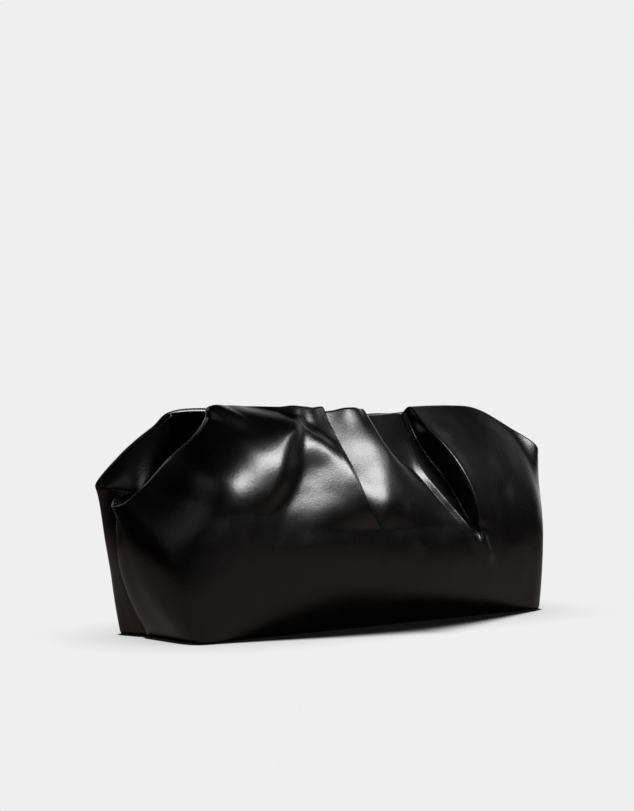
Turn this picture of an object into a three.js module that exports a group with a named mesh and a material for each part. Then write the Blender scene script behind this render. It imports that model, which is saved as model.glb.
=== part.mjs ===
// Gathered clutch bag of smooth black leather, standing on its flat base.
// Millimetres, +Z up, the front towards -Y, the left end towards -X.
import * as THREE from 'three';

// Driving dimensions
const WALL = 2.0;            // leather of the front and back panels
const FACING = 1.5;          // leather of the strips inside the mouth
const GAP = 0.3;             // play between pieces that are sewn together
const BASE_THICKNESS = 2.2;  // leather of the bottom
const BELLY_SHARE = 0.36;    // part of a wall's height parameter that lies below the belly
const SEAM_TRIM = 0.008;     // share of a section's width left open at each end seam
const LIP_SPAN = { from: 7, to: 11 };  // sections between which the columns follow the lips
const LIP_CROWDING = 0.6;    // how far the columns between two lips crowd towards them, from 0 to 1
const FRONT_ROWS = 22;       // faces up the front panel
const BACK_ROWS = 14;        // faces up the back panel
const FACING_DROP = 27;      // height of the strips inside the mouth
const FACING_SINK = 1.2;     // how far the strips start below the rim
const FACING_ROWS = 3;
const FRONT_FACING_SPAN = { from: 3.3, to: 13.4 };  // sections where the front strip starts and ends
const BACK_FACING_SPAN = { from: 2.6, to: 10.8 };
const CLASP = { x: -14, height: 134.5, radius: 7, sides: 24 };

// How a rib leaves one of its points and arrives at the next, as shares of the run across and up between
const RIB = {
  leaveBase: { across: 1.7, up: 0.7 },
  reachBelly: { across: 0.1, up: 1.25 },
  leaveBelly: { across: 0.1, up: 1.15 },
  reachRim: { across: 1.35, up: 0.55 },
};

// How folds run out
const FULL_DEPTH_AT = 0.35;  // share of a pleat's length where it is at its deepest
const TIP_FADE = 1.6;        // how late a pleat's depth runs out towards its tip
const TIP_WIDTH = 0.12;      // share of a pleat's width that is left at its tip
const END_FADE = 0.25;       // share of a swell's length over which each end fades
const END_LEFT = 0.15;       // strength of a swell at its very end
const FOLD_REACH = 10;       // distance from the middle plane over which folds fade in

// Sections round the bag, each a rib from the base over the belly to the rim.
// base is x, y; belly and rim are x, y, z; steps is the number of faces to the next section.
const FRONT_SECTIONS = [
  { name: 'left seam', base: [-157, 14], belly: [-168, 18, 50], rim: [-158, 20, 92], steps: 4 },
  { name: 'left gusset', base: [-160, -8], belly: [-185, 10, 58], rim: [-177, 18, 90.5], steps: 4 },
  { name: 'left ear', base: [-159, -33], belly: [-182, -18, 52], rim: [-189, 10, 85], steps: 4 },
  { name: 'above ear', base: [-145, -42], belly: [-167, -38, 46], rim: [-175, -4, 102], steps: 3 },
  { name: 'slope', base: [-116, -42], belly: [-140, -48, 42], rim: [-158, -11, 116], steps: 3 },
  { name: 'upper slope', base: [-88, -43], belly: [-110, -54, 42], rim: [-142, -17, 133], steps: 3 },
  { name: 'left corner', base: [-66, -43], belly: [-84, -56, 44], rim: [-134, -19, 149.5], steps: 4 },
  { name: 'first lobe', base: [-36, -43], belly: [-50, -57, 47], rim: [-98, -14, 149], steps: 7 },
  { name: 'first tuck', base: [0, -43], belly: [-8, -57, 50], rim: [-50, -10.5, 148.5], steps: 10 },
  { name: 'second tuck', base: [40, -43], belly: [36, -57, 53], rim: [8, -9.5, 147], steps: 10 },
  { name: 'third tuck', base: [78, -43], belly: [78, -56, 56], rim: [62, -9.5, 148], steps: 6 },
  { name: 'right lobe', base: [108, -43], belly: [110, -54, 58], rim: [98, -11, 149], steps: 4 },
  { name: 'right corner', base: [132, -43], belly: [134, -52, 60], rim: [123, -13, 146.5], steps: 3 },
  { name: 'right slope', base: [151, -43], belly: [153, -48, 62], rim: [147, -21, 133], steps: 3 },
  { name: 'right shoulder', base: [162, -36], belly: [162.5, -37, 62], rim: [168, -28, 117.5], steps: 3 },
  { name: 'right ear', base: [163, -14], belly: [167.5, -14, 62], rim: [172, -11, 107], steps: 3 },
  { name: 'right gusset', base: [162, 2], belly: [167, 2, 56], rim: [163, 6, 101], steps: 3 },
  { name: 'right seam', base: [160, 14], belly: [163, 15, 52], rim: [154, 15, 97], steps: 0 },
];
const BACK_SECTIONS = [
  { name: 'right seam', base: [160, 14], belly: [163, 15, 52], rim: [154, 15, 97], steps: 2 },
  { name: 'right gusset', base: [162, 23], belly: [166, 25, 56], rim: [164, 20, 102], steps: 3 },
  { name: 'right ear', base: [161, 34], belly: [166, 38, 58], rim: [168, 28, 112], steps: 3 },
  { name: 'right slope', base: [152, 42], belly: [157, 47, 58], rim: [152, 24, 128], steps: 3 },
  { name: 'right corner', base: [135, 43], belly: [138, 52, 55], rim: [127, 13, 145], steps: 3 },
  { name: 'right lobe', base: [110, 43], belly: [112, 54, 52], rim: [105, 10.5, 147.5], steps: 4 },
  { name: 'right of middle', base: [70, 43], belly: [70, 57, 50], rim: [60, 9.5, 148], steps: 5 },
  { name: 'middle', base: [20, 43], belly: [20, 58, 48], rim: [-20, 9.5, 147.5], steps: 5 },
  { name: 'left of middle', base: [-30, 43], belly: [-30, 58, 48], rim: [-90, 12, 147], steps: 5 },
  { name: 'left corner', base: [-70, 43], belly: [-80, 57, 48], rim: [-134, 17, 146], steps: 3 },
  { name: 'left slope', base: [-110, 43], belly: [-120, 55, 48], rim: [-147, 24, 134], steps: 3 },
  { name: 'above ear', base: [-145, 43], belly: [-153, 50, 50], rim: [-164, 33, 118], steps: 3 },
  { name: 'left ear', base: [-161, 38], belly: [-168, 43, 52], rim: [-179, 42, 97], steps: 3 },
  { name: 'left gusset', base: [-160, 26], belly: [-171, 30, 52], rim: [-171, 32, 94], steps: 2 },
  { name: 'left seam', base: [-157, 14], belly: [-168, 18, 50], rim: [-158, 20, 92], steps: 0 },
];

// Pleats of the front: a lip along an edge of x, z points from the rim to the tip, with the leather on one
// side (+1 right, -1 left) tucked under it. drop is the width of the step, width the stretch that it takes to
// rise again, lip the swell beside the edge, and atRim the share of the depth that reaches the rim. Columns of
// faces follow a lip that has a foot, the x at which they go on from its tip down to the base.
const FRONT_TUCKS = [
  { name: 'first lip', edge: [[-44, 150], [-39, 125], [-33, 101], [-24, 82], [-11, 70]], tucked: 1, foot: 4,
    depth: 8.5, drop: 6, width: 34, lip: 1.5, lipWidth: 12, atRim: 0.55 },
  { name: 'second lip', edge: [[-2, 146], [6, 118], [24, 103], [44, 84], [70, 60]], tucked: 1, foot: 54,
    depth: 6, drop: 6, width: 30, lip: 1.2, lipWidth: 9, atRim: 0.7 },
  { name: 'third lip', edge: [[50, 150], [61, 121], [70, 101], [77, 80], [75, 60]], tucked: -1, foot: 88,
    depth: 6, drop: 6, width: 26, lip: 1.5, lipWidth: 12, atRim: 0.6 },
  { name: 'soft crease', edge: [[8, 112], [11, 88], [14, 66], [26, 42]], tucked: 1,
    depth: 3.5, drop: 6, width: 34, lip: 1.6, lipWidth: 10, atRim: 0.1 },
];

// Soft swells and dents: a line of x, z points, its half width, and its height, which is negative in a dent.
const FRONT_SWELLS = [
  { name: 'outer swell', line: [[-150, 88], [-122, 108], [-98, 124]], half: 13, height: 3.5 },
  { name: 'middle swell', line: [[-116, 94], [-95, 114], [-56, 142]], half: 9, height: 3 },
  { name: 'inner swell', line: [[-102, 64], [-72, 93], [-48, 119], [-38, 138]], half: 11, height: 3.5 },
  { name: 'hollow between', line: [[-98, 80], [-79, 100], [-56, 126]], half: 8, height: -2.5 },
  { name: 'right dent', line: [[92, 108], [108, 88], [116, 48]], half: 12, height: -3 },
  { name: 'low left dent', line: [[-163, 10], [-150, 14], [-136, 20]], half: 8, height: -2.5 },
];
const BACK_SWELLS = [
  { name: 'left gather', line: [[-112, 146], [-96, 112], [-84, 80]], half: 12, height: -3.5 },
  { name: 'left of middle gather', line: [[-52, 147], [-44, 108], [-42, 74]], half: 11, height: -3.5 },
  { name: 'middle gather', line: [[6, 147], [6, 104], [10, 66]], half: 11, height: -4 },
  { name: 'right of middle gather', line: [[60, 148], [56, 110], [58, 78]], half: 11, height: -3.5 },
  { name: 'right gather', line: [[104, 147], [98, 116], [92, 88]], half: 11, height: -3 },
];

const BLACK_LEATHER = { color: 0x0b0b0c, roughness: 0.32, metalness: 0 };
const BLACK_FACING = { color: 0x100f10, roughness: 0.45, metalness: 0 };
const CLASP_METAL = { color: 0x3a3a3d, roughness: 0.35, metalness: 1 };

const NEARBY = 0.01;  // step in section number or height share for reading a direction off the wall

const clamp01 = (t) => Math.min(1, Math.max(0, t));
const smoothstep = (t) => clamp01(t) ** 2 * (3 - 2 * clamp01(t));

// Value on the smooth curve through a list of equally long rows, at row number u
function throughRows(rows, u) {
  const last = rows.length - 1;
  const i = Math.min(last - 1, Math.max(0, Math.floor(u)));
  const f = u - i;
  return rows[i].map((b, k) => {
    const c = rows[i + 1][k];
    const a = i > 0 ? rows[i - 1][k] : 2 * b - c;
    const d = i + 1 < last ? rows[i + 2][k] : 2 * c - b;
    const square = 2 * a - 5 * b + 4 * c - d;
    const cube = 3 * b - a - 3 * c + d;
    return 0.5 * (2 * b + (c - a) * f + square * f * f + cube * f * f * f);
  });
}

function hermite(a, b, leave, arrive, f) {
  const point = a.clone().multiplyScalar(2 * f ** 3 - 3 * f ** 2 + 1);
  point.addScaledVector(leave, f ** 3 - 2 * f ** 2 + f);
  point.addScaledVector(b, 3 * f ** 2 - 2 * f ** 3);
  return point.addScaledVector(arrive, f ** 3 - f ** 2);
}

// Smooth wall without folds, at section number u and height share v from base to rim
function smoothPoint(sections, u, v) {
  const row = throughRows(sections.map((s) => [...s.base, ...s.belly, ...s.rim]), u);
  const base = new THREE.Vector3(row[0], row[1], BASE_THICKNESS + GAP);
  const belly = new THREE.Vector3(row[2], row[3], row[4]);
  const rim = new THREE.Vector3(row[5], row[6], row[7]);
  const slope = (from, to, share) => {
    const d = to.clone().sub(from);
    return new THREE.Vector3(d.x * share.across, d.y * share.across, d.z * share.up);
  };
  if (v < BELLY_SHARE) {
    const leave = slope(base, belly, RIB.leaveBase);
    return hermite(base, belly, leave, slope(base, belly, RIB.reachBelly), v / BELLY_SHARE);
  }
  const leave = slope(belly, rim, RIB.leaveBelly);
  const share = (v - BELLY_SHARE) / (1 - BELLY_SHARE);
  return hermite(belly, rim, leave, slope(belly, rim, RIB.reachRim), share);
}

// Outward normal of the smooth wall
function outward(sections, u, v) {
  const end = sections.length - 1;
  const along = smoothPoint(sections, Math.min(end, u + NEARBY), v)
    .sub(smoothPoint(sections, Math.max(0, u - NEARBY), v));
  const up = smoothPoint(sections, u, Math.min(1, v + NEARBY))
    .sub(smoothPoint(sections, u, Math.max(0, v - NEARBY)));
  return along.cross(up).normalize();
}

// Nearest place on a curve of x, z rows: share of its length, distance, and side, which is 1 on its right
function besideCurve(x, z, rows) {
  const pieces = 32;  // straight pieces that stand for the curve
  let best = { distance: Infinity, share: 0, side: 1 };
  let a = rows[0];
  for (let k = 1; k <= pieces; k += 1) {
    const b = throughRows(rows, (k / pieces) * (rows.length - 1));
    const run = [b[0] - a[0], b[1] - a[1]];
    const f = clamp01(((x - a[0]) * run[0] + (z - a[1]) * run[1]) / (run[0] ** 2 + run[1] ** 2));
    const off = [x - a[0] - f * run[0], z - a[1] - f * run[1]];
    const distance = Math.hypot(off[0], off[1]);
    if (distance < best.distance) {
      best = { distance, share: (k - 1 + f) / pieces, side: run[0] * off[1] - run[1] * off[0] >= 0 ? 1 : -1 };
    }
    a = b;
  }
  return best;
}

function tuckShift(x, z, tuck) {
  const { distance, share, side } = besideCurve(x, z, tuck.edge);
  const q = distance * side * tuck.tucked;
  const fade = Math.sqrt(1 - share);
  const grown = tuck.atRim + (1 - tuck.atRim) * smoothstep(share / FULL_DEPTH_AT);
  const strength = grown * Math.min(1, TIP_FADE * fade);
  const stepped = smoothstep(q / tuck.drop);
  const width = tuck.width * (TIP_WIDTH + (1 - TIP_WIDTH) * fade);
  const tucked = stepped * (1 - smoothstep(q / width));
  const lip = Math.exp(-((q / tuck.lipWidth) ** 2)) * (1 - stepped);
  return strength * (tuck.lip * lip - tuck.depth * tucked);
}

function swellShift(x, z, swell) {
  const { distance, share } = besideCurve(x, z, swell.line);
  const ends = smoothstep(share / END_FADE + END_LEFT) * smoothstep((1 - share) / END_FADE + END_LEFT);
  return swell.height * Math.exp(-((distance / swell.half) ** 2)) * ends;
}

// How far the folds move the wall out at a point; they fade out towards the bag's ends
function foldShift(point, tucks, swells) {
  const reach = smoothstep(Math.abs(point.y) / FOLD_REACH + 0.5);
  let shift = 0;
  for (const tuck of tucks) shift += tuckShift(point.x, point.z, tuck);
  for (const swell of swells) shift += swellShift(point.x, point.z, swell);
  return shift * reach;
}

// Section numbers of a wall's columns, with each section's own number of steps
function columnsOf(sections) {
  const columns = [];
  sections.forEach((section, i) => {
    for (let k = 0; k < section.steps; k += 1) columns.push(i + k / section.steps);
  });
  columns.push(sections.length - 1 - SEAM_TRIM);
  columns[0] = SEAM_TRIM;
  return columns;
}

// Number between low and high where a rising function reaches zero
function whereZero(rising, low, high) {
  let [a, b] = [low, high];
  for (let k = 0; k < 24; k += 1) {
    const middle = (a + b) / 2;
    if (rising(middle) < 0) a = middle;
    else b = middle;
  }
  return (a + b) / 2;
}

// Where a lip, or the line from its tip to its foot, is at the height z
function lipX({ edge, foot }, z) {
  const last = edge.length - 1;
  const [tipX, tipZ] = edge[last];
  if (z <= tipZ) return foot + (tipX - foot) * (z / tipZ);
  return throughRows(edge, whereZero((t) => z - throughRows(edge, t)[1], 0, last))[0];
}

// Section number of a column at the height share v, moved so that some columns run along the lips
function followLips(sections, tucks, column, v) {
  const lips = tucks.filter((tuck) => tuck.foot !== undefined);
  const { from, to } = LIP_SPAN;
  if (lips.length === 0 || column <= from || column >= to) return column;
  const beside = (lip) => (u) => {
    const point = smoothPoint(sections, u, v);
    return point.x - lipX(lip, point.z);
  };
  const stops = [from, ...lips.map((lip) => whereZero(beside(lip), from, to)), to];
  const place = (column - from) * ((stops.length - 1) / (to - from));
  const i = Math.floor(place);
  const f = place - i;
  const crowded = f - (LIP_CROWDING * Math.sin(2 * Math.PI * f)) / (2 * Math.PI);
  return stops[i] + (stops[i + 1] - stops[i]) * crowded;
}

// Closed sheet between two grids of points, given as columns of rows; front is the side that faces out
function closedSheet(front, rear) {
  const columns = front.length;
  const rows = front[0].length;
  const positions = [...front, ...rear].flat().flatMap((p) => [p.x, p.y, p.z]);
  const at = (side, i, j) => (side * columns + i) * rows + j;
  const index = [];
  const quad = (a, b, c, d) => index.push(a, b, c, a, c, d);
  for (let i = 0; i + 1 < columns; i += 1) {
    for (let j = 0; j + 1 < rows; j += 1) {
      quad(at(0, i, j), at(0, i + 1, j), at(0, i + 1, j + 1), at(0, i, j + 1));
      quad(at(1, i, j), at(1, i, j + 1), at(1, i + 1, j + 1), at(1, i + 1, j));
    }
    quad(at(0, i, 0), at(1, i, 0), at(1, i + 1, 0), at(0, i + 1, 0));
    quad(at(0, i, rows - 1), at(0, i + 1, rows - 1), at(1, i + 1, rows - 1), at(1, i, rows - 1));
  }
  for (let j = 0; j + 1 < rows; j += 1) {
    quad(at(0, 0, j), at(0, 0, j + 1), at(1, 0, j + 1), at(1, 0, j));
    quad(at(0, columns - 1, j), at(1, columns - 1, j), at(1, columns - 1, j + 1), at(0, columns - 1, j + 1));
  }
  const geometry = new THREE.BufferGeometry();
  geometry.setAttribute('position', new THREE.Float32BufferAttribute(positions, 3));
  geometry.setIndex(index);
  geometry.computeVertexNormals();
  return geometry;
}

function piece(name, geometry, finish) {
  const mesh = new THREE.Mesh(geometry, new THREE.MeshStandardMaterial(finish));
  mesh.name = name;
  return mesh;
}

function foldedPoint(sections, tucks, swells, u, v) {
  const point = smoothPoint(sections, u, v);
  return point.addScaledVector(outward(sections, u, v), foldShift(point, tucks, swells));
}

function panel(name, sections, tucks, swells, rows) {
  const outer = [];
  const inner = [];
  for (const column of columnsOf(sections)) {
    const places = Array.from({ length: rows + 1 }, (_, j) => {
      const v = j / rows;
      return [followLips(sections, tucks, column, v), v];
    });
    const rib = places.map(([u, v]) => foldedPoint(sections, tucks, swells, u, v));
    outer.push(rib);
    inner.push(rib.map((p, j) => {
      const inside = p.clone().addScaledVector(outward(sections, ...places[j]), -WALL);
      if (j === 0) inside.z = p.z;
      return inside;
    }));
  }
  return piece(name, closedSheet(outer, inner), BLACK_LEATHER);
}

// Strip that hangs straight down inside the mouth, from just under the rim, between two section numbers
function facing(name, sections, tucks, swells, span) {
  const outer = [];
  const inner = [];
  for (const column of columnsOf(sections).filter((c) => c >= span.from && c <= span.to)) {
    const u = followLips(sections, tucks, column, 1);
    const rim = foldedPoint(sections, tucks, swells, u, 1);
    const along = smoothPoint(sections, u + NEARBY, 1).sub(smoothPoint(sections, u - NEARBY, 1));
    const inwards = new THREE.Vector3(-along.y, along.x, 0).normalize();
    const strip = (offset) => Array.from({ length: FACING_ROWS + 1 }, (_, j) => {
      const down = new THREE.Vector3(0, 0, -FACING_SINK - FACING_DROP * (1 - j / FACING_ROWS));
      return rim.clone().addScaledVector(inwards, offset).add(down);
    });
    outer.push(strip(WALL + GAP));
    inner.push(strip(WALL + GAP + FACING));
  }
  return piece(name, closedSheet(outer, inner), BLACK_FACING);
}

function basePanel() {
  const outline = new THREE.Shape();
  const corners = [FRONT_SECTIONS, BACK_SECTIONS].flatMap((sections) => {
    const rows = sections.map((s) => s.base);
    const steps = (rows.length - 1) * 3;
    return Array.from({ length: steps }, (_, k) => throughRows(rows, (k / steps) * (rows.length - 1)));
  });
  outline.setFromPoints(corners.map(([x, y]) => new THREE.Vector2(x, y)));
  const geometry = new THREE.ExtrudeGeometry(outline, { depth: BASE_THICKNESS, bevelEnabled: false });
  return piece('base_panel', geometry, BLACK_LEATHER);
}

// Round snap across the mouth, held between the two facings
function magneticClasp(frontFacing, backFacing) {
  const reach = (mesh, towards) => {
    const ray = new THREE.Raycaster();
    const faces = [];
    const sides = [-1, 0, 1];
    for (const sx of sides) {
      for (const sz of sides) {
        const start = new THREE.Vector3(CLASP.x + sx * CLASP.radius, 0, CLASP.height + sz * CLASP.radius);
        ray.set(start, new THREE.Vector3(0, towards, 0));
        faces.push(...ray.intersectObject(mesh).slice(0, 1).map((hit) => hit.distance));
      }
    }
    return towards * (Math.min(...faces) - GAP);
  };
  const front = reach(frontFacing, -1);
  const back = reach(backFacing, 1);
  const geometry = new THREE.CylinderGeometry(CLASP.radius, CLASP.radius, back - front, CLASP.sides);
  const clasp = piece('magnetic_clasp', geometry, CLASP_METAL);
  clasp.position.set(CLASP.x, (front + back) / 2, CLASP.height);
  return clasp;
}

const bag = new THREE.Group();
const frontFacing = facing('front_facing', FRONT_SECTIONS, FRONT_TUCKS, FRONT_SWELLS, FRONT_FACING_SPAN);
const backFacing = facing('back_facing', BACK_SECTIONS, [], BACK_SWELLS, BACK_FACING_SPAN);
bag.add(panel('front_panel', FRONT_SECTIONS, FRONT_TUCKS, FRONT_SWELLS, FRONT_ROWS));
bag.add(panel('back_panel', BACK_SECTIONS, [], BACK_SWELLS, BACK_ROWS));
bag.add(basePanel());
bag.add(frontFacing);
bag.add(backFacing);
bag.add(magneticClasp(frontFacing, backFacing));

// The origin is under the middle of the bag
const size = new THREE.Box3().setFromObject(bag);
const middle = size.getCenter(new THREE.Vector3());
bag.position.set(-middle.x, -middle.y, -size.min.z);

export default bag;
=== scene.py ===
# Looks of the black gathered clutch bag: pleated leather, rolled rim, base, mouth, snap and a plain studio.
# The tables are in millimetres in the bag's own frame: x to its right end, the front towards -y, z up.
import math

import bpy
import numpy as np
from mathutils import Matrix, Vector


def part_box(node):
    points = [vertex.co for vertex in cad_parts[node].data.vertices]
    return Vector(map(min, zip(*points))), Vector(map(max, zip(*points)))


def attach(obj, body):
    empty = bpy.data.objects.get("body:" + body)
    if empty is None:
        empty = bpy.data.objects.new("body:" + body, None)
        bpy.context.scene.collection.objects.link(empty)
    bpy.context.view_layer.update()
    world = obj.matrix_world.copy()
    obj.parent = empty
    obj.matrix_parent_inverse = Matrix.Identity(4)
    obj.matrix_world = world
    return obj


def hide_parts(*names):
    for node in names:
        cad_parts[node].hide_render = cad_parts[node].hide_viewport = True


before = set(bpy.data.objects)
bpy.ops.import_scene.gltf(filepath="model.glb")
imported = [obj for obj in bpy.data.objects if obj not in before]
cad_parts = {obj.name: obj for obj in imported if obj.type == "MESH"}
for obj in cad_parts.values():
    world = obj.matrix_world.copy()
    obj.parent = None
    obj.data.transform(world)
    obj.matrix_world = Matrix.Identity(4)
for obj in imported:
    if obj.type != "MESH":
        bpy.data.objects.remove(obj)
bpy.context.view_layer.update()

MM = 0.001

# Sizes of the leather
LEATHER = 1.2          # thickness of the panels and strips
BASE_TOP = 0.6         # height at which the walls start
BASE_THICKNESS = 2.2
BELLY_SHARE = 0.36     # part of a wall's height share that lies below the belly
WALL_ROWS = 138        # faces up a wall
ROLL_STEPS = 7         # faces round the rolled rim
HEM_STEPS = 3          # faces down the hem inside the mouth
SEAM_OVERLAP = 0.04    # share of a section by which the panels overlap at an end seam
SEAM_DIP = (1.1, 2.6)  # depth and reach of the groove along the end seams
BASE_DIP = (0.4, 2.0)  # depth and reach of the groove above the base
FACING_TOP = 5.0       # where the strips inside the mouth start below the rim
FACING_DROP = 28.0     # where they end below the rim
FACING_INSET = 1.0     # distance of the strips behind the rim line
FRONT_FACING_SPAN = (9.2, 15.2)  # sections where the front strip starts and ends
BACK_FACING_SPAN = (3.4, 8.3)
FRONT_FACING_LOWERED = 5.0       # how much lower than the back one the front strip hangs
SNAP_SPREAD = 22.0     # how far along the mouth the strips bend towards the snap
SNAP_GAP = 0.8         # distance of the strips from the ends of the snap

# How a rib leaves one of its points and arrives at the next, as shares of the run up, and at the rim across
# and up; above the belly for a straight rib and for a full one
LEAVE_BASE = 0.7       # the share across is the section's flare
REACH_BELLY = 1.25
LEAVE_BELLY = dict(straight=1.1, full=2.1)
REACH_RIM = dict(straight=(1.2, 0.8), full=(1.7, 0.5))

# How folds run
END_FADE = 0.4         # share of a swell's line over which it dies away
END_LEFT = 0.1
FOLD_REACH = 10.0      # distance from the end seams over which folds fade in
PLEAT_FADE = 40.0      # reach of the pleats beyond their first and last line
LIP_OVERLAP = 2.4      # how strongly a full lip folds over
FULL_LIP = 8.0         # step of a full lip
CRISP_DROP = 3.0       # only lips with a step narrower than this fold over
LIP_REACH = 1.4        # how far beside a lip its leather folds over
UNDER_DROP = 7.0       # width of a lip's step on the hidden side of the leather
LIP_SPAN = (9, 13)     # sections between which the columns of faces follow the lips
LIP_CROWDING = 0.85


def section(name, base, belly, rim, roll, steps, full, flare=1.7, lean=0.0):
    """Rib of the bag: base x, y; belly and rim x, y, z; roll is the rim's radius and hem; steps to the next.
    full is 0 for a straight rib and 1 for a puffed one, flare how far it leans out above the base, and lean
    how far it follows the line from base to rim at its belly, where it is upright otherwise."""
    return dict(name=name, places=(*base, *belly, *rim, *roll, flare, full, lean), steps=steps)


# Where each value of a section lies in its places
BASE, BELLY, RIM, ROLL = slice(0, 2), slice(2, 5), slice(5, 8), slice(8, 10)
FLARE, FULL, LEAN = slice(10, 11), slice(11, 12), slice(12, 13)

# Columns of both tables: name, base, belly, rim, roll, steps, full, flare, lean
FRONT_SECTIONS = [
    section("left seam", (-157, 14), (-168, 18, 50), (-158, 20, 92), (1.3, 1.0), 12, 0.3, 1.0, 1.0),
    section("left gusset", (-160, 9), (-184, 10, 55), (-178, 17, 90.5), (1.3, 1.0), 10, 0.3, 1.0, 0.5),
    section("left ear", (-161, -12), (-186, -4, 55), (-188, 10, 84), (1.4, 1.2), 10, 0.3, 1.0, 0.5),
    section("ear lip", (-161, -35), (-182, -20, 50), (-184.5, 0, 87.5), (1.5, 1.5), 10, 0.3, 1.0, 0.5),
    section("above ear", (-153, -43), (-171, -37, 46), (-171.5, -4, 98.8), (2.0, 3.0), 10, 0.3, 1.3, 0.4),
    section("slope", (-122, -43), (-146, -49, 66), (-158, -11, 112), (3.5, 6.0), 10, 0.6, 1.7, 0.2),
    section("upper slope", (-94, -43), (-120, -54, 72), (-141, -17, 125.4), (5.0, 8.0), 8, 0.8),
    section("under corner", (-79, -43), (-103, -56, 72), (-131, -19, 137), (6.5, 9.0), 8, 0.9),
    section("left corner", (-62, -43), (-84, -57, 66), (-127, -18.5, 147.5), (5.0, 10.0), 14, 1.1),
    section("first lobe", (-36, -43), (-52, -58, 64), (-98, -17, 148), (2.6, 10.0), 40, 1.2),
    section("first tuck", (0, -43), (-8, -57, 54), (-60, -26, 145.5), (2.6, 10.0), 44, 0.2),
    section("second tuck", (40, -43), (36, -57, 50), (1, -22, 143), (2.6, 10.0), 44, 0.1),
    section("third tuck", (78, -43), (78, -56, 52), (57, -13, 147), (2.6, 10.0), 36, 0.5),
    section("right lobe", (108, -43), (110, -54, 54), (98, -11, 148), (2.6, 10.0), 10, 0.5),
    section("right corner", (132, -43), (134, -52, 55), (123, -13, 145.5), (2.6, 9.0), 10, 0.4),
    section("right slope", (151, -43), (153, -48, 56), (147, -22, 132), (2.6, 8.0), 12, 0.3),
    section("right shoulder", (162, -36), (162.5, -37, 56), (168, -31, 116.5), (2.4, 5.0), 12, 0.3),
    section("right ear", (163, -14), (167.5, -14, 56), (172, -11, 106), (2.0, 3.0), 10, 0.3),
    section("right gusset", (162, 2), (167, 2, 56), (163, 6, 101), (1.6, 2.0), 8, 0.3),
    section("right seam", (160, 14), (163, 15, 52), (154, 15, 97), (1.4, 1.5), 0, 0.3),
]
BACK_SECTIONS = [
    section("right seam", (160, 14), (163, 15, 52), (154, 15, 97), (1.4, 1.5), 8, 0.3),
    section("right gusset", (162, 23), (166, 25, 56), (164, 20, 102), (1.6, 2.0), 10, 0.3),
    section("right ear", (161, 34), (166, 38, 58), (168, 28, 112), (2.0, 3.0), 12, 0.3),
    section("right slope", (152, 42), (157, 47, 58), (152, 24, 128), (2.6, 7.0), 12, 0.3),
    section("right corner", (135, 43), (138, 52, 55), (127, 13, 145), (2.6, 9.0), 14, 0.4),
    section("right lobe", (110, 43), (112, 54, 52), (105, 10.5, 147.5), (2.6, 10.0), 24, 0.6),
    section("right of middle", (70, 43), (70, 57, 50), (60, 9.5, 143.5), (2.4, 8.0), 30, 0.6),
    section("middle", (20, 43), (20, 58, 48), (-20, 9.5, 141.5), (2.4, 8.0), 30, 0.6),
    section("left of middle", (-30, 43), (-30, 58, 48), (-90, 12, 146), (1.6, 2.0), 26, 0.6),
    section("left corner", (-70, 43), (-80, 57, 48), (-134, 17, 145.2), (1.3, 1.0), 14, 0.4),
    section("left slope", (-110, 43), (-120, 55, 48), (-147, 24, 134), (1.3, 1.0), 14, 0.3, 1.7, 0.4),
    section("above ear", (-145, 43), (-153, 50, 50), (-164, 33, 117.5), (1.3, 1.0), 14, 0.3, 1.3, 1.0),
    section("left ear", (-161, 38), (-168, 43, 52), (-178.5, 42, 96.5), (1.3, 1.0), 12, 0.3, 1.0, 1.0),
    section("left gusset", (-160, 26), (-171, 30, 52), (-171, 32, 94), (1.3, 1.0), 8, 0.3, 1.0, 1.0),
    section("left seam", (-157, 14), (-168, 18, 50), (-158, 20, 92), (1.3, 1.0), 0, 0.3, 1.0, 1.0),
]

# Lines of the pleats, a row for each point from the rim down. Below its last row a line runs straight to its
# foot, the x at which it meets the base.
def crest(name, foot, rows):
    """Top of a roll or bottom of a valley: rows of x, z and how far the leather stands out."""
    return dict(name=name, foot=foot, tucked=0, drop=1.0, rows=[(x, z, out, out) for x, z, out in rows])


def lip(name, foot, tucked, drop, rows):
    """Edge with the leather on one side (+1 right) tucked under it: rows of x, z, and how far it stands out
    left and right of the edge. drop is the width of the step from one to the other."""
    return dict(name=name, foot=foot, tucked=tucked, drop=drop, rows=rows)


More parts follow.
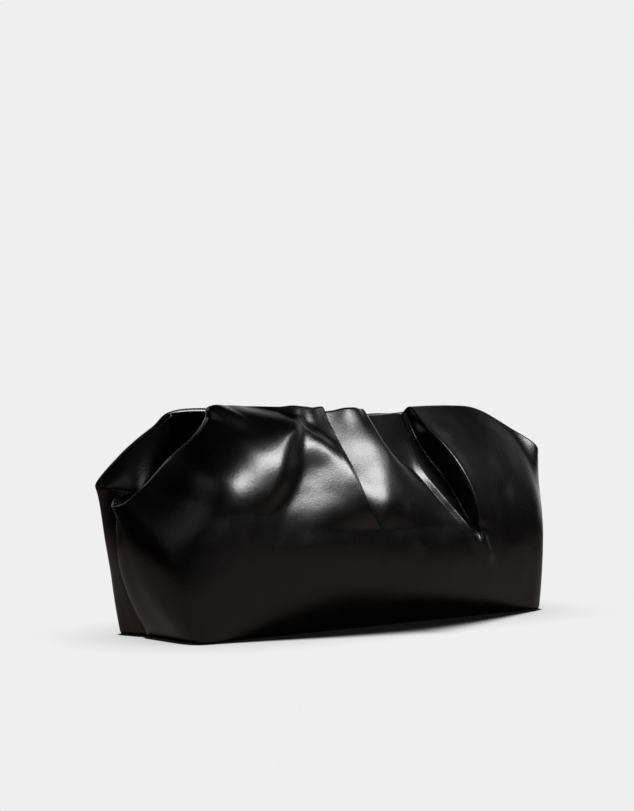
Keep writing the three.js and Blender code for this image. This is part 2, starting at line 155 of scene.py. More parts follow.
FRONT_PLEATS = [
    crest("gather ridge", -134, [
        (-66, 150, 1), (-76, 137, 2), (-95, 125, 3), (-104, 109, 3), (-112, 94, 2), (-123, 80, 0)]),
    crest("gather valley", -108, [
        (-56, 150, 1), (-62, 137, -1), (-74, 125, -2.5), (-77, 109, -5), (-86, 94, -4.5), (-97, 78, -2),
        (-106, 58, 0)]),
    lip("first lip", 4, 1, 1.7, [
        (-45, 150, 5, -3), (-45, 128, 5, -9), (-43, 112, 4, -10.5), (-34, 87, 4.5, -8), (-26, 75, 3.5, -3.5),
        (-19, 67, 0, 0)]),
    crest("second roll", 4, [
        (-5, 150, 4), (-4, 137, 5), (-2, 125, 5.5), (1, 113, 5), (-2, 101, 4.5), (-9, 83, 4), (-16, 66, 0)]),
    lip("second lip", 72, 1, 1.6, [
        (0, 150, -1, -2.5), (1, 137, -2, -4), (7, 121, -2.5, -5), (18, 112, -2.5, -5), (31, 103, -2.5, -5),
        (46, 82, -1.5, -4.3), (59, 68, -0.8, -2.5), (71, 54, 0, 0)]),
    lip("pocket lip", 80, 1, 6.0, [
        (47, 150, -4, -5), (46, 135, -6, -9), (43, 119, -6, -13), (42, 109, -5.5, -14), (44, 100, -5, -13.5),
        (57, 83, -4.8, -12), (65, 73, -3.6, -9), (71, 65, -1.5, -4.5), (74, 59, -0.3, -1.2), (76, 53, 0, 0)]),
    lip("third lip", 88, -1, 2.2, [
        (53, 150, -4, 0), (53, 135, -9.5, 2), (58, 124, -14, 3.5), (64, 112, -15.5, 4), (71, 95, -14.5, 4),
        (76, 79, -11.5, 3), (78, 70, -8.5, 2.5), (79, 64, -4.3, 1.2), (79, 59, -1.2, 0.3), (79, 53, 0, 0)]),
]

# Soft swells and dents: a line of x, z points, its half width and its height, which is negative in a dent
FRONT_SWELLS = [
    dict(name="top beside first lip", line=[(-76, 142), (-62, 142), (-48, 142)], half=15, height=3),
    dict(name="top of second roll", line=[(-30, 150), (-18, 150), (-6, 150)], half=12, height=3),
    dict(name="outer lobe", line=[(-160, 86), (-150, 100), (-138, 114), (-122, 130), (-110, 140)],
         half=22, height=6),
    dict(name="pocket roll", half=4, height=1.8,
         line=[(43, 130), (39, 115), (40, 103), (51, 87), (61, 75), (68, 65), (75, 55), (84, 44)]),
    dict(name="soft crease", line=[(9, 86), (12, 72), (17, 60), (25, 46)], half=5, height=1.7),
    dict(name="right fold", line=[(79, 64), (84, 50), (94, 35)], half=5, height=1.8),
    dict(name="right dent", line=[(104, 96), (110, 80), (118, 49)], half=12, height=-1),
]
BACK_SWELLS = [
    dict(name="left gather", line=[(-112, 146), (-96, 112), (-84, 80)], half=12, height=-3.5),
    dict(name="left of middle gather", line=[(-52, 147), (-44, 108), (-42, 74)], half=11, height=-3.5),
    dict(name="middle gather", line=[(6, 147), (6, 104), (10, 66)], half=11, height=-4),
    dict(name="right of middle gather", line=[(60, 148), (56, 110), (58, 78)], half=11, height=-3.5),
    dict(name="right gather", line=[(104, 147), (98, 116), (92, 88)], half=11, height=-3),
]

# Leather folded in between the back ear and the mouth: rows of x, y, z from the ear inwards, and its sag
EAR_FOLD = dict(upper=[(-177.5, 41, 96), (-163, 32.3, 116.3), (-146.5, 23.3, 132.6), (-134.5, 17, 143.8)],
                lower=[(-172, 33.5, 93.2), (-159, 22.5, 91.5), (-145, 21, 92.5), (-131, 26, 98)], sag=1.5)

# Turned or rounded pieces: inset and height round the base's edge, and shares of the snap's radius and half
# length from its end to its middle
BASE_PROFILE = [(4.5, 0.0), (3.4, 0.15), (2.8, 0.7), (2.8, 1.5), (3.4, 2.05), (4.5, BASE_THICKNESS)]
SNAP_PROFILE = [(0.62, -1.0), (0.9, -0.92), (1.0, -0.72), (1.0, -0.22), (0.93, -0.08), (0.8, -0.02)]

# Looks of the leather and the metal; noises have a scale and a detail, bumps a distance and a strength
SMOOTH_LEATHER = dict(dark=(0.0014, 0.0014, 0.0015), light=(0.003, 0.0028, 0.0028), shine=(0.235, 0.30),
                      specular=0.5)
FACING_LEATHER = dict(dark=(0.008, 0.008, 0.008), light=(0.014, 0.013, 0.013), shine=(0.42, 0.55),
                      specular=0.35)
TINT_NOISE = (35.0, 4.0)
SHINE_NOISE = (90.0, 3.0)
WAVE_NOISE, WAVE_BUMP = (60.0, 2.0), (0.0012, 0.10)
PORE_NOISE, PORE_BUMP = (900.0, 2.0), (0.00015, 0.55)
METAL = (0.2, 0.2, 0.21)
METAL_SHINE = (0.25, 0.42)
METAL_NOISE, METAL_BUMP = (900.0, 2.0), (0.0001, 0.2)
UNEVEN_HEIGHT = 0.0014   # of the slow unevenness of the panels, in metres from its lowest to its highest
UNEVEN_NOISE = (28.0, 1.5)

# Camera, in the bag's frame
CAMERA_PLACE = (-922.5, -993.8, 148.5)
CAMERA_WAY = (0.6709, 0.7415, 0.0)
CAMERA_LENS = 87.2
SENSOR_HEIGHT = 36.0

# Light, floor and surroundings; reaches on the floor are in metres
SOFTBOXES = [
    dict(name="key softbox", place=(318, -978, 728), aim=(0, 0, 110), size=(0.85, 0.36), brightness=23.0),
    dict(name="key halo", place=(318, -978, 728), aim=(0, 0, 110), size=(1.2, 0.6), brightness=0.7),
    dict(name="fill softbox", place=(-946, -648, 710), aim=(-150, 0, 100), size=(0.6, 0.5), brightness=0.4),
    dict(name="side softbox", place=(-620, 560, 780), aim=(-140, 0, 110), size=(0.4, 0.4), brightness=2.0),
]
PALE = 0.863                  # brightness of the floor and background
BEHIND_GLOW = 1.3             # brightness low behind the bag that the leather mirrors
BEHIND_SPREAD = (0.4, 0.9)    # how far a direction runs the camera's way where that starts and is full
BEHIND_HEIGHT = (0.3, 0.7)    # how steep a direction is where that starts to fade and ends
FRONT_GLOW = 0.002            # brightness on the camera's side that the leather mirrors
FLOOR_SIZE, FLOOR_DROP = 60, 0.0002
MIRRORED_FLOOR = (0.24, 0.20, 0.19)  # colour of the floor that the leather mirrors
MIRRORED_REACH = (0.18, 0.60)        # distances from the middle at which it starts and ends to darken
MIRRORED_SQUEEZE = (0.5, 1.0, 1.0)   # how x counts in that distance, as the bag is long
SHADE_REACH = (0.065, 0.004)  # how far the contact shade spreads where it is widest and narrowest
SHADE_MIDDLE = 0.01           # x where it is widest
SHADE_LENGTH = 0.15           # distance from there to where it is narrowest
SHADE_OPEN = (0.62, 0.95)     # open shares of the surroundings at which it is darkest and gone
SHADE_LEVELS = (0.01, 1.0)    # brightness at these
WIDE_SHADE = 0.06             # how far the faint shade round it spreads
WIDE_LEVELS = (0.55, 1.0)     # its brightness where all is hidden and where all is open
SHADE_SAMPLES = 32


def smoothstep(t):
    """Smooth rise from 0 to 1 while t goes from 0 to 1."""
    t = np.clip(t, 0.0, 1.0)
    return t * t * (3.0 - 2.0 * t)


def through_rows(rows, u):
    """Values on the smooth curve through the rows, at the row numbers u; one more axis than u."""
    rows = np.asarray(rows, float)
    u = np.asarray(u, float)
    padded = np.vstack([2 * rows[0] - rows[1], rows, 2 * rows[-1] - rows[-2]])
    i = np.clip(np.floor(u).astype(int), 0, len(rows) - 2)
    f = (u - i)[..., None]
    a, b, c, d = (padded[i + k] for k in range(4))
    square = 2 * a - 5 * b + 4 * c - d
    cube = 3 * b - a - 3 * c + d
    return 0.5 * (2 * b + (c - a) * f + square * f**2 + cube * f**3)


def hermite(a, b, leave, arrive, f):
    """Point at the share f of a curve from a to b that leaves and arrives in given directions."""
    start = (2 * f**3 - 3 * f**2 + 1) * a + (f**3 - 2 * f**2 + f) * leave
    return start + (3 * f**2 - 2 * f**3) * b + (f**3 - f**2) * arrive


def smooth_wall(sections, u, v):
    """Points of the wall without folds, at section numbers u and height shares v of one shape."""
    row = through_rows([s["places"] for s in sections], u)
    belly, rim = row[..., BELLY], row[..., RIM]
    flare, full, lean = row[..., FLARE], row[..., FULL], row[..., LEAN]
    base = np.concatenate([row[..., BASE], np.full_like(flare, BASE_TOP)], axis=-1)
    leave = (belly - base) * np.concatenate([flare, flare, np.full_like(flare, LEAVE_BASE)], axis=-1)
    whole = rim - base
    slope = np.concatenate([whole[..., :2] / whole[..., 2:] * lean, np.ones_like(lean)], axis=-1)
    reach_belly = slope * (belly - base)[..., 2:] * REACH_BELLY
    up_share = LEAVE_BELLY["straight"] * (1 - full) + LEAVE_BELLY["full"] * full
    leave_belly = slope * (rim - belly)[..., 2:] * up_share
    (across, up), (full_across, full_up) = REACH_RIM["straight"], REACH_RIM["full"]
    straight_reach = np.array([across, across, up])
    full_reach = np.array([full_across, full_across, full_up])
    reach_rim = (rim - belly) * (straight_reach * (1 - full) + full_reach * full)

    low = np.clip(v / BELLY_SHARE, 0, 1)[..., None]
    high = np.clip((v - BELLY_SHARE) / (1 - BELLY_SHARE), 0, 1)[..., None]
    below = hermite(base, belly, leave, reach_belly, low)
    above = hermite(belly, rim, leave_belly, reach_rim, high)
    return np.where(v[..., None] < BELLY_SHARE, below, above)


def unit(vectors):
    """The vectors at length 1."""
    return vectors / np.maximum(np.linalg.norm(vectors, axis=-1, keepdims=True), 1e-9)


def wall_directions(sections, u, v, near=0.01):
    """Unit directions along, up and out of the smooth wall."""
    inside = np.clip(u, near, len(sections) - 1 - near)
    along = unit(smooth_wall(sections, inside + near, v) - smooth_wall(sections, inside - near, v))
    top = smooth_wall(sections, u, np.minimum(v + near, 1))
    up = unit(top - smooth_wall(sections, u, np.maximum(v - near, 0)))
    return along, up, unit(np.cross(along, up))


def beside_curve(x, z, rows, pieces=40):
    """Nearest place on a curve of x, z rows: share of its length, and distance from it."""
    curve = through_rows(rows, np.linspace(0, len(rows) - 1, pieces + 1))
    share = np.zeros(x.shape)
    distance = np.full(x.shape, np.inf)
    for k in range(pieces):
        start = curve[k]
        run = curve[k + 1] - start
        f = np.clip(((x - start[0]) * run[0] + (z - start[1]) * run[1]) / (run @ run), 0, 1)
        reach = np.hypot(x - start[0] - f * run[0], z - start[1] - f * run[1])
        near = reach < distance
        distance = np.where(near, reach, distance)
        share = np.where(near, (k + f) / pieces, share)
    return share, distance


def swell_move(x, z, swell):
    """How far a swell moves the leather out."""
    share, distance = beside_curve(x, z, swell["line"])
    ends = smoothstep(share / END_FADE + END_LEFT) * smoothstep((1 - share) / END_FADE + END_LEFT)
    return swell["height"] * np.exp(-((distance / swell["half"]) ** 2)) * ends


def line_at(line, z):
    """x of a pleat line at heights z, and how far the leather stands out left and right of it."""
    rows = through_rows(line["rows"], np.linspace(0, len(line["rows"]) - 1, 80))
    rows = np.vstack([rows, (line["foot"], 0.0, 0.0, 0.0)])[::-1]
    return [np.interp(z, rows[:, 1], rows[:, k]) for k in (0, 2, 3)]


def pleat_band(f, from_lip, to_lip):
    """Rise across a band between two pleat lines, from 0 to 1: level at a crest and steep at a lip."""
    if from_lip and to_lip:
        return f
    if from_lip:
        return 1 - (1 - f) ** 2
    return f ** 2 if to_lip else smoothstep(f)


def pleat_move(x, z, lines, hidden):
    """How the pleats move the leather out and across; its hidden side takes wide steps, clear of the lips."""
    places = [line_at(line, z) for line in lines]
    flat = np.zeros_like(x)
    ends = [(places[0][0] - PLEAT_FADE, flat, flat), *places, (places[-1][0] + PLEAT_FADE, flat, flat)]
    tucks = [0, *(line["tucked"] for line in lines), 0]
    bands = []
    for k in range(len(ends) - 1):
        start, _, height = ends[k]
        end, left, _ = ends[k + 1]
        f = np.clip((x - start) / np.maximum(end - start, 0.1), 0, 1)
        bands.append(height + (left - height) * pleat_band(f, tucks[k], tucks[k + 1]))
    out = bands[0]
    across = flat
    for k, line in enumerate(lines):
        at, left, right = places[k]
        q = x - at
        if hidden:
            stepped = smoothstep(q / UNDER_DROP + (1 + line["tucked"]) / 2)
        else:
            stepped = smoothstep(q / line["drop"] + 0.5)
            crisp = np.clip(CRISP_DROP / line["drop"] - 1, 0, 1)
            fold = LIP_OVERLAP * np.abs(left - right) / FULL_LIP * crisp
            across = across - fold * q * np.exp(-((q / LIP_REACH) ** 2))
        out = out + stepped * (bands[k + 1] - bands[k])
    return out, across


def folded_wall(sections, pleats, swells, u, v, hidden=False):
    """Points of the wall with its folds, and its unit directions."""
    points = smooth_wall(sections, u, v)
    along, up, out = wall_directions(sections, u, v)
    x, z = points[..., 0], points[..., 2]
    reach = smoothstep(np.abs(points[..., 1]) / FOLD_REACH + 0.5)
    moved_out = np.zeros(x.shape)
    moved_across = np.zeros(x.shape)
    if pleats:
        moved_out, moved_across = pleat_move(x, z, pleats, hidden)
    for swell in swells:
        moved_out = moved_out + swell_move(x, z, swell)
    sideways = moved_across[..., None] * along
    folded = points + (out * moved_out[..., None] + sideways) * reach[..., None]
    return folded, along, up, out


def lip_sections(sections, lips, v):
    """Section numbers where each lip, or the line from its tip to its foot, crosses a row of the wall."""
    dense = np.linspace(*LIP_SPAN, 240)
    row = smooth_wall(sections, dense, np.full_like(dense, v))
    return [np.interp(0.0, row[:, 0] - line_at(line, row[:, 2])[0], dense) for line in lips]


def wall_grid(sections, pleats, rows):
    """Section numbers and height shares of a wall's columns and rows; columns run along the lips."""
    columns = [i + k / s["steps"] for i, s in enumerate(sections) for k in range(s["steps"])]
    columns = np.array([*columns, len(sections) - 1 + SEAM_OVERLAP])
    columns[0] = -SEAM_OVERLAP
    heights = np.linspace(0, 1, rows + 1)
    u = np.repeat(columns[:, None], rows + 1, axis=1)
    lips = [line for line in pleats if line["tucked"]]
    if lips:
        inside = (columns > LIP_SPAN[0]) & (columns < LIP_SPAN[1])
        place = (columns[inside] - LIP_SPAN[0]) * (len(lips) + 1) / (LIP_SPAN[1] - LIP_SPAN[0])
        number = np.floor(place).astype(int)
        f = place - number
        crowded = f - LIP_CROWDING * np.sin(2 * np.pi * f) / (2 * np.pi)
        for j, v in enumerate(heights):
            stops = np.array([LIP_SPAN[0], *lip_sections(sections, lips, v), LIP_SPAN[1]])
            u[inside, j] = stops[number] + (stops[number + 1] - stops[number]) * crowded
    return u, np.repeat(heights[None, :], len(columns), axis=0)


def seam_grooves(points, out):
    """Draws the wall in along its two end seams, both panels the same way, and above the base."""
    depth, reach = SEAM_DIP
    for edge in (points[:1], points[-1:]):
        away = np.linalg.norm(points - edge, axis=-1)
        endwards = np.array([np.sign(edge[0, 0, 0]), 0.0, 0.0])
        points = points - endwards * (depth * (1 - smoothstep(away / reach)))[..., None]
    depth, reach = BASE_DIP
    away = np.linalg.norm(points - points[:, :1], axis=-1)
    return points - out * (depth * (1 - smoothstep(away / reach)))[..., None]


def rolled_rim(sections, u, rim, up, out):
    """Rows that roll the rim over into the mouth and end in a short hem: outer and inner points."""
    radius, hem = through_rows([s["places"] for s in sections], u)[:, ROLL].T
    whole_turn = np.arctan2(up[:, 2], np.hypot(up[:, 0], up[:, 1])) + np.pi / 2
    outer, inner = [], []
    for k in range(1, ROLL_STEPS + 1):
        turn = whole_turn * (k / ROLL_STEPS)
        sine, cosine = np.sin(turn)[:, None], np.cos(turn)[:, None]
        place = rim + radius[:, None] * (sine * up - (1 - cosine) * out)
        outer.append(place)
        inner.append(place - LEATHER * (cosine * out + sine * up))
    down = np.cos(whole_turn)[:, None] * up - np.sin(whole_turn)[:, None] * out
    for k in range(1, HEM_STEPS + 1):
        step = (hem * k / HEM_STEPS)[:, None] * down
        outer.append(outer[ROLL_STEPS - 1] + step)
        inner.append(inner[ROLL_STEPS - 1] + step)
    return np.stack(outer, axis=1), np.stack(inner, axis=1)


def sheet_faces(columns, rows):
    """Quads of a closed sheet between two grids of columns and rows, the outer grid first."""
    outer = np.arange(columns * rows).reshape(columns, rows)
    inner = outer + columns * rows

    def quads(a, b, c, d):
        return np.stack([a.ravel(), b.ravel(), c.ravel(), d.ravel()], axis=-1)

    o, n = outer, inner
    return np.concatenate([
        quads(o[:-1, :-1], o[1:, :-1], o[1:, 1:], o[:-1, 1:]),
        quads(n[:-1, :-1], n[:-1, 1:], n[1:, 1:], n[1:, :-1]),
        quads(o[:-1, 0], n[:-1, 0], n[1:, 0], o[1:, 0]),
        quads(o[:-1, -1], o[1:, -1], n[1:, -1], n[:-1, -1]),
        quads(o[0, :-1], o[0, 1:], n[0, 1:], n[0, :-1]),
        quads(o[-1, :-1], n[-1, :-1], n[-1, 1:], o[-1, 1:]),
    ])


def base_outline(steps=3):
    """Outline of the base, through the base ends of all the sections."""
    runs = []
    for sections in (FRONT_SECTIONS, BACK_SECTIONS):
        rows = [s["places"][BASE] for s in sections]
        count = (len(rows) - 1) * steps
        runs.append(through_rows(rows, np.linspace(0, len(rows) - 1, count + 1)[:-1]))
    return np.vstack(runs)


# Shift from the bag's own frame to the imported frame, in millimetres
SHIFT = np.append(np.array(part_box("base_panel")[0])[:2] / MM - base_outline().min(axis=0), 0.0)


def new_piece(name, points, faces, material):
    """Smooth object of points in the bag's own frame."""
    mesh = bpy.data.meshes.new(name)
    mesh.from_pydata(((points + SHIFT) * MM).tolist(), [], [list(face) for face in faces])
    mesh.polygons.foreach_set("use_smooth", np.ones(len(mesh.polygons), bool))
    mesh.materials.append(material)
    piece = bpy.data.objects.new(name, mesh)
    bpy.context.scene.collection.objects.link(piece)
    return piece


def leather_panel(name, sections, pleats, swells, material):
    """Front or back wall with its folds, grooves at the seams, and the rim rolled over into the mouth."""
    u, v = wall_grid(sections, pleats, WALL_ROWS)
    outer, _, up, out = folded_wall(sections, pleats, swells, u, v)
    inner = folded_wall(sections, pleats, swells, u, v, hidden=True)[0] - LEATHER * out
    inner[:, 0, 2] = outer[:, 0, 2]
    outer = seam_grooves(outer, out)
    inner = seam_grooves(inner, out)
    rim_outer, rim_inner = rolled_rim(sections, u[:, -1], outer[:, -1], up[:, -1], out[:, -1])
    outer = np.concatenate([outer, rim_outer], axis=1)
    inner = np.concatenate([inner, rim_inner], axis=1)
    points = np.vstack([outer.reshape(-1, 3), inner.reshape(-1, 3)])
    return new_piece(name, points, sheet_faces(*outer.shape[:2]), material)


def ear_fold(material, columns=24, rows=16):
    """Leather folded in between the back ear and the mouth."""
    along = np.linspace(0, 3, columns + 1)
    upper = through_rows(EAR_FOLD["upper"], along)[:, None]
    lower = through_rows(EAR_FOLD["lower"], along)[:, None]
    share = np.linspace(0, 1, rows + 1)[None, :, None]
    outer = lower + (upper - lower) * share
    way = unit(np.cross(np.gradient(outer, axis=0), np.gradient(outer, axis=1)))
    outer = outer - way * EAR_FOLD["sag"] * np.sin(np.pi * share)
    points = np.vstack([outer.reshape(-1, 3), (outer - LEATHER * way).reshape(-1, 3)])
    return new_piece("ear_fold", points, sheet_faces(*outer.shape[:2]), material)


def snap_box():
    """Lowest and highest corner of the snap."""
    return [np.array(corner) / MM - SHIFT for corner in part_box("magnetic_clasp")]


def bend_to_snap(inner, end):
    """Moves that bend a strip to the y at one end of the snap, and raise its upper edge behind it."""
    low, high = snap_box()
    middle = (low[0] + high[0]) / 2
    beside = inner[np.abs(inner[:, -1, 0] - middle).argmin(), -1]
    near = np.exp(-((inner[..., 0] - middle) / SNAP_SPREAD) ** 2)
    upwards = np.linspace(0, 1, inner.shape[1])
    rise = max(high[2] - beside[2], 0.0)
    return np.stack([np.zeros_like(near), near * (end - beside[1]), near * upwards * rise], axis=-1)


def mouth_facing(name, sections, swells, span, lowered, snap_end, material, columns=160, rows=6):
    """Strip that hangs inside the mouth behind the hem, and meets the snap at the y of snap_end."""
    u = np.linspace(*span, columns)
    rim, along, _, _ = folded_wall(sections, [], swells, u, np.ones_like(u))
    inwards = unit(np.stack([-along[:, 1], along[:, 0], np.zeros(len(u))], axis=-1))
    drop = np.linspace(FACING_DROP, FACING_TOP, rows + 1)
    down = np.stack([np.zeros_like(drop), np.zeros_like(drop), -drop], axis=-1)
    outer = (rim + FACING_INSET * inwards)[:, None] + down[None] - np.array([0.0, 0.0, lowered])
    inner = outer + LEATHER * inwards[:, None]
    bend = bend_to_snap(inner, snap_end)
    points = np.vstack([(outer + bend).reshape(-1, 3), (inner + bend).reshape(-1, 3)])
    return new_piece(name, points, sheet_faces(*outer.shape[:2]), material)


def stacked_rings(rings, count, inside_out=False):
    """Faces of a closed body of rings of points, the first ring at its bottom."""
    faces = []
    for k in range(rings - 1):
        for i in range(count):
            j = (i + 1) % count
            faces.append((k * count + i, k * count + j, (k + 1) * count + j, (k + 1) * count + i))
    faces.append(tuple(range(count - 1, -1, -1)))
    faces.append(tuple(range((rings - 1) * count, rings * count)))
    return [face[::-1] for face in faces] if inside_out else faces


def base_panel(material):
    """Bottom with rounded edges, a little inside the foot of the walls."""
    outline = base_outline(8)
    inwards = unit(np.roll(outline, -1, axis=0) - np.roll(outline, 1, axis=0)) @ np.array([[0, 1], [-1, 0]])
    rings = []
    for inset, height in BASE_PROFILE:
        ring = outline + inset * inwards
        rings.append(np.column_stack([ring, np.full(len(ring), height)]))
    faces = stacked_rings(len(rings), len(outline))
    return new_piece("base_leather", np.vstack(rings), faces, material)


def snap(material, sides=48):
    """Turned magnetic snap: two dished discs that meet across the mouth."""
    low, high = snap_box()
    middle = (low + high) / 2
    radius = (high[2] - low[2]) / 2
    half = (high[1] - low[1]) / 2
    profile = SNAP_PROFILE + [(share, -depth) for share, depth in reversed(SNAP_PROFILE)]
    turns = np.linspace(0, 2 * np.pi, sides, endpoint=False)
    rings = []
    for share, depth in profile:
        ring = np.stack([np.cos(turns) * share * radius, np.full(sides, depth * half),
                         np.sin(turns) * share * radius], axis=-1)
        rings.append(ring + middle)
    faces = stacked_rings(len(rings), sides, inside_out=True)
    return new_piece("snap", np.vstack(rings), faces, material)


# Materials
def new_material(name):
    """New material with its nodes, their links and its main shader."""
    material = bpy.data.materials.new(name)
    material.use_nodes = True
    nodes = material.node_tree.nodes
    return material, nodes, material.node_tree.links, nodes["Principled BSDF"]


def put(links, value, socket):
    """Gives a socket its value: another node's output, a number or a vector."""
    if isinstance(value, bpy.types.NodeSocket):
        links.new(value, socket)
    else:
        socket.default_value = value


def maths(nodes, links, operation, *values):
    """Result of a math node."""
    node = nodes.new("ShaderNodeMath")
    node.operation = operation
    for value, socket in zip(values, node.inputs):
        put(links, value, socket)
    return node.outputs["Value"]


def vector_maths(nodes, links, operation, *vectors):
    """Outputs of a vector math node."""
    node = nodes.new("ShaderNodeVectorMath")
    node.operation = operation
    for vector, socket in zip(vectors, node.inputs):
        put(links, vector, socket)
    return node.outputs


def noise(nodes, links, vector, scale, detail):
    """Noise from 0 to 1 at the places of a vector."""
    node = nodes.new("ShaderNodeTexNoise")
    put(links, scale, node.inputs["Scale"])
    node.inputs["Detail"].default_value = detail
    links.new(vector, node.inputs["Vector"])
    return node.outputs["Fac"]


def between(nodes, links, value, low, high, reach=1.0):
    """Value from low to high, while the given one goes from 0 to its reach."""
    node = nodes.new("ShaderNodeMapRange")
    node.inputs["From Max"].default_value = reach
    node.inputs["To Min"].default_value = low
    node.inputs["To Max"].default_value = high
    links.new(value, node.inputs["Value"])
    return node.outputs["Result"]


def ramp(nodes, links, value, reach, levels):
    """Smooth step between two levels, while the given value goes over its reach."""
    node = nodes.new("ShaderNodeMapRange")
    node.interpolation_type = "SMOOTHSTEP"
    for name, number in zip(("From Min", "From Max", "To Min", "To Max"), (*reach, *levels)):
        node.inputs[name].default_value = number
    links.new(value, node.inputs["Value"])
    return node.outputs["Result"]


def bump(nodes, links, height, distance, strength, below=None):
    """Normals of a surface with a fine relief, on top of the normals below it."""
    node = nodes.new("ShaderNodeBump")
    node.inputs["Strength"].default_value = strength
    node.inputs["Distance"].default_value = distance
    links.new(height, node.inputs["Height"])
    if below is not None:
        links.new(below, node.inputs["Normal"])
    return node.outputs["Normal"]


def black_leather(name, dark, light, shine, specular):
    """Smooth black leather: fine grain, slow soft waves, and a shine that varies a little."""
    material, nodes, links, shader = new_material(name)
    place = nodes.new("ShaderNodeTexCoord").outputs["Object"]
    tint = nodes.new("ShaderNodeMix")
    tint.data_type = "RGBA"
    tint.inputs["A"].default_value = (*dark, 1)
    tint.inputs["B"].default_value = (*light, 1)
    links.new(noise(nodes, links, place, *TINT_NOISE), tint.inputs["Factor"])
    links.new(tint.outputs["Result"], shader.inputs["Base Color"])
    gloss = between(nodes, links, noise(nodes, links, place, *SHINE_NOISE), *shine)
    links.new(gloss, shader.inputs["Roughness"])
    waves = bump(nodes, links, noise(nodes, links, place, *WAVE_NOISE), *WAVE_BUMP)
    pores = bump(nodes, links, noise(nodes, links, place, *PORE_NOISE), *PORE_BUMP, waves)
    links.new(pores, shader.inputs["Normal"])
    shader.inputs["Specular IOR Level"].default_value = specular
    return material


def dark_metal():
    """Plain dark plated metal with fine turning marks."""
    material, nodes, links, shader = new_material("snap metal")
    place = nodes.new("ShaderNodeTexCoord").outputs["Object"]
    marks = noise(nodes, links, place, *METAL_NOISE)
    links.new(between(nodes, links, marks, *METAL_SHINE), shader.inputs["Roughness"])
    links.new(bump(nodes, links, marks, *METAL_BUMP), shader.inputs["Normal"])
    shader.inputs["Base Color"].default_value = (*METAL, 1)
    shader.inputs["Metallic"].default_value = 1.0
    return material


# Geometry Nodes
def uneven_leather():
    """Node tree that moves a surface gently in and out along its normals, and gives it its leather."""
    tree = bpy.data.node_groups.new("uneven leather", "GeometryNodeTree")
    face = tree.interface
    face.new_socket("Geometry", in_out="INPUT", socket_type="NodeSocketGeometry")
    for name in ("Height", "Scale"):
        face.new_socket(name, in_out="INPUT", socket_type="NodeSocketFloat")
    face.new_socket("Leather", in_out="INPUT", socket_type="NodeSocketMaterial")
    face.new_socket("Geometry", in_out="OUTPUT", socket_type="NodeSocketGeometry")
    nodes, links = tree.nodes, tree.links
    start = nodes.new("NodeGroupInput").outputs
    place = nodes.new("GeometryNodeInputPosition").outputs["Position"]
    waves = noise(nodes, links, place, start["Scale"], UNEVEN_NOISE[1])
    level = maths(nodes, links, "SUBTRACT", waves, 0.5)
    height = maths(nodes, links, "MULTIPLY", level, start["Height"])
    offset = nodes.new("ShaderNodeVectorMath")
    offset.operation = "SCALE"
    links.new(nodes.new("GeometryNodeInputNormal").outputs["Normal"], offset.inputs[0])
    links.new(height, offset.inputs["Scale"])
    move = nodes.new("GeometryNodeSetPosition")
    links.new(start["Geometry"], move.inputs["Geometry"])
    links.new(offset.outputs["Vector"], move.inputs["Offset"])
    whole = nodes.new("GeometryNodeRealizeInstances")
    links.new(move.outputs["Geometry"], whole.inputs["Geometry"])
    dress = nodes.new("GeometryNodeSetMaterial")
    links.new(whole.outputs["Geometry"], dress.inputs["Geometry"])
    links.new(start["Leather"], dress.inputs["Material"])
    end = nodes.new("NodeGroupOutput")
    links.new(dress.outputs["Geometry"], end.inputs["Geometry"])
    return tree


def settle(piece, tree, height, scale, material):
    """Runs the node tree on a piece and keeps the result as its plain mesh."""
    modifier = piece.modifiers.new("uneven leather", "NODES")
    modifier.node_group = tree
    values = {"Height": height, "Scale": scale, "Leather": material}
    for item in tree.interface.items_tree:
        if item.in_out == "INPUT" and item.name in values:
            modifier[item.identifier] = values[item.name]
    depsgraph = bpy.context.evaluated_depsgraph_get()
    mesh = bpy.data.meshes.new_from_object(piece.evaluated_get(depsgraph))
    piece.modifiers.remove(modifier)
    piece.data = mesh


# Studio
def in_row(place):
    """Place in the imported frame, in metres."""
    return Vector((np.array(place) + SHIFT) * MM)


def photo_camera():
    """Level camera at about the height of the rim."""
    data = bpy.data.cameras.new("camera")
    data.sensor_fit = "VERTICAL"
    data.sensor_height = SENSOR_HEIGHT
    data.lens = CAMERA_LENS
    camera = bpy.data.objects.new("camera", data)
    camera.location = in_row(CAMERA_PLACE)
    camera.rotation_euler = Vector(CAMERA_WAY).to_track_quat("-Z", "Y").to_euler()
    bpy.context.scene.collection.objects.link(camera)
    bpy.context.scene.camera = camera


def softbox(name, place, aim, size, brightness):
    """Rectangular light that the leather mirrors; brightness is that of its face."""
    data = bpy.data.lights.new(name, "AREA")
    data.shape = "RECTANGLE"
    data.size, data.size_y = size
    data.energy = brightness * math.pi * size[0] * size[1]
    light = bpy.data.objects.new(name, data)
    light.location = in_row(place)
    light.rotation_euler = (in_row(aim) - in_row(place)).to_track_quat("-Z", "Y").to_euler()
    light.visible_camera = False
    light.visible_diffuse = False
    bpy.context.scene.collection.objects.link(light)


def seen_or_mirrored(nodes, links, kind, seen, mirrored):
    """Shader with one glow for the camera and one for what mirrors it; each has a colour and a strength."""
    choice = nodes.new("ShaderNodeMixShader")
    links.new(nodes.new("ShaderNodeLightPath").outputs["Is Camera Ray"], choice.inputs["Fac"])
    for number, (colour, strength) in enumerate((mirrored, seen), start=1):
        glow = nodes.new(kind)
        glow.inputs["Color"].default_value = (*colour, 1)
        put(links, strength, glow.inputs["Strength"])
        links.new(glow.outputs[0], choice.inputs[number])
    return choice.outputs["Shader"]


def open_share(nodes, links, reach):
    """Share of the surroundings that is open within a reach."""
    node = nodes.new("ShaderNodeAmbientOcclusion")
    node.samples = SHADE_SAMPLES
    put(links, reach, node.inputs["Distance"])
    return node.outputs["AO"]


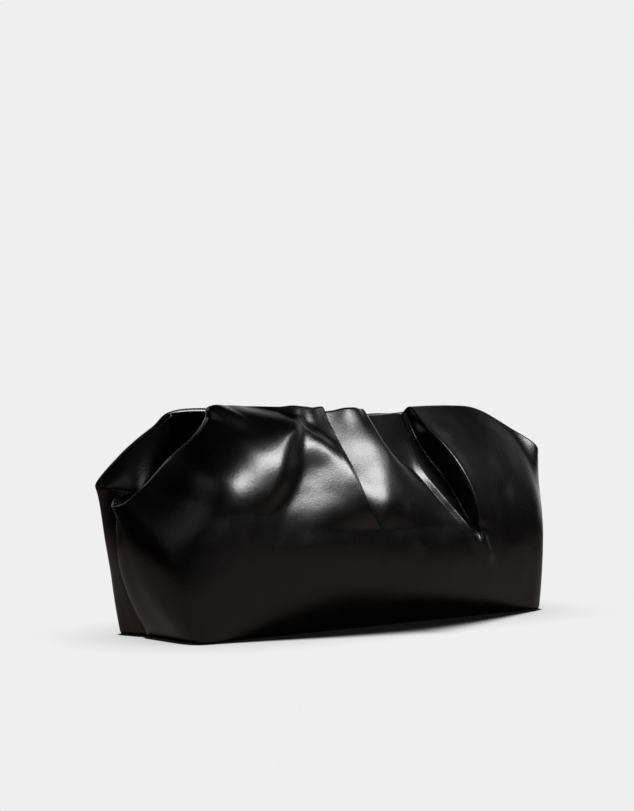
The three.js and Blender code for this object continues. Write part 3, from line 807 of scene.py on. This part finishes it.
def contact_shade(nodes, links, place):
    """Brightness of the floor beside the bag: dark where they meet, spread widest near the bag's middle."""
    along = nodes.new("ShaderNodeSeparateXYZ")
    links.new(place, along.inputs["Vector"])
    away = maths(nodes, links, "SUBTRACT", along.outputs["X"], SHADE_MIDDLE)
    away = maths(nodes, links, "ABSOLUTE", away)
    spread = between(nodes, links, away, *SHADE_REACH, reach=SHADE_LENGTH)
    return ramp(nodes, links, open_share(nodes, links, spread), SHADE_OPEN, SHADE_LEVELS)


def pale_floor():
    """Plain pale floor with a soft contact shade; the leather mirrors a dimmer one."""
    material, nodes, links, shader = new_material("pale floor")
    nodes.remove(shader)
    place = nodes.new("ShaderNodeTexCoord").outputs["Object"]
    bright = contact_shade(nodes, links, place)
    wide = between(nodes, links, open_share(nodes, links, WIDE_SHADE), *WIDE_LEVELS)
    seen = maths(nodes, links, "MULTIPLY", bright, wide)
    squeezed = vector_maths(nodes, links, "MULTIPLY", place, MIRRORED_SQUEEZE)["Vector"]
    far = vector_maths(nodes, links, "LENGTH", squeezed)["Value"]
    fade = ramp(nodes, links, far, MIRRORED_REACH, (1.0, 0.0))
    mirrored = maths(nodes, links, "MULTIPLY", bright, fade)
    surface = seen_or_mirrored(nodes, links, "ShaderNodeEmission", ((PALE, PALE, PALE), seen),
                               (MIRRORED_FLOOR, mirrored))
    links.new(surface, nodes["Material Output"].inputs["Surface"])
    bpy.ops.mesh.primitive_plane_add(size=FLOOR_SIZE, location=(0, 0, -FLOOR_DROP))
    floor = bpy.context.object
    floor.name = "floor"
    floor.data.materials.append(material)


def world_light():
    """Even pale surroundings; the leather mirrors them bright low behind the bag and dark in front of it."""
    world = bpy.data.worlds.new("studio")
    bpy.context.scene.world = world
    world.use_nodes = True
    nodes, links = world.node_tree.nodes, world.node_tree.links
    nodes.clear()
    way = nodes.new("ShaderNodeTexCoord").outputs["Generated"]
    height = nodes.new("ShaderNodeSeparateXYZ")
    links.new(way, height.inputs["Vector"])
    ahead = vector_maths(nodes, links, "DOT_PRODUCT", way, CAMERA_WAY)["Value"]
    behind = ramp(nodes, links, ahead, BEHIND_SPREAD, (0.0, BEHIND_GLOW))
    low = ramp(nodes, links, height.outputs["Z"], BEHIND_HEIGHT, (1.0, 0.0))
    glow = maths(nodes, links, "MULTIPLY_ADD", behind, low, FRONT_GLOW)
    white = (1, 1, 1)
    surface = seen_or_mirrored(nodes, links, "ShaderNodeBackground", (white, PALE), (white, glow))
    links.new(surface, nodes.new("ShaderNodeOutputWorld").inputs["Surface"])


def studio():
    """Camera, floor, surroundings and lights."""
    bpy.context.scene.view_settings.view_transform = "Standard"
    photo_camera()
    pale_floor()
    world_light()
    for box in SOFTBOXES:
        softbox(**box)


def stand_for(piece, node):
    """Puts a piece in the place of a node of the frame."""
    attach(piece, "root")
    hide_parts(node)


def build_bag():
    """All pieces of the bag and what they stand for."""
    leather = black_leather("smooth leather", **SMOOTH_LEATHER)
    lining = black_leather("facing leather", **FACING_LEATHER)
    metal = dark_metal()
    tree = uneven_leather()
    front = leather_panel("front_leather", FRONT_SECTIONS, FRONT_PLEATS, FRONT_SWELLS, leather)
    back = leather_panel("back_leather", BACK_SECTIONS, [], BACK_SWELLS, leather)
    for panel in (front, back):
        settle(panel, tree, UNEVEN_HEIGHT, UNEVEN_NOISE[0], leather)
    base = base_panel(leather)
    low, high = snap_box()
    front_strip = mouth_facing("front_strip", FRONT_SECTIONS, FRONT_SWELLS, FRONT_FACING_SPAN,
                               FRONT_FACING_LOWERED, low[1] - SNAP_GAP, lining)
    back_strip = mouth_facing("back_strip", BACK_SECTIONS, BACK_SWELLS, BACK_FACING_SPAN, 0.0,
                              high[1] + SNAP_GAP, lining)
    ear = ear_fold(leather)
    clasp = snap(metal)
    stand_for(front, "front_panel")
    stand_for(back, "back_panel")
    stand_for(base, "base_panel")
    stand_for(front_strip, "front_facing")
    stand_for(back_strip, "back_facing")
    stand_for(clasp, "magnetic_clasp")
    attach(ear, "root")


build_bag()
studio()
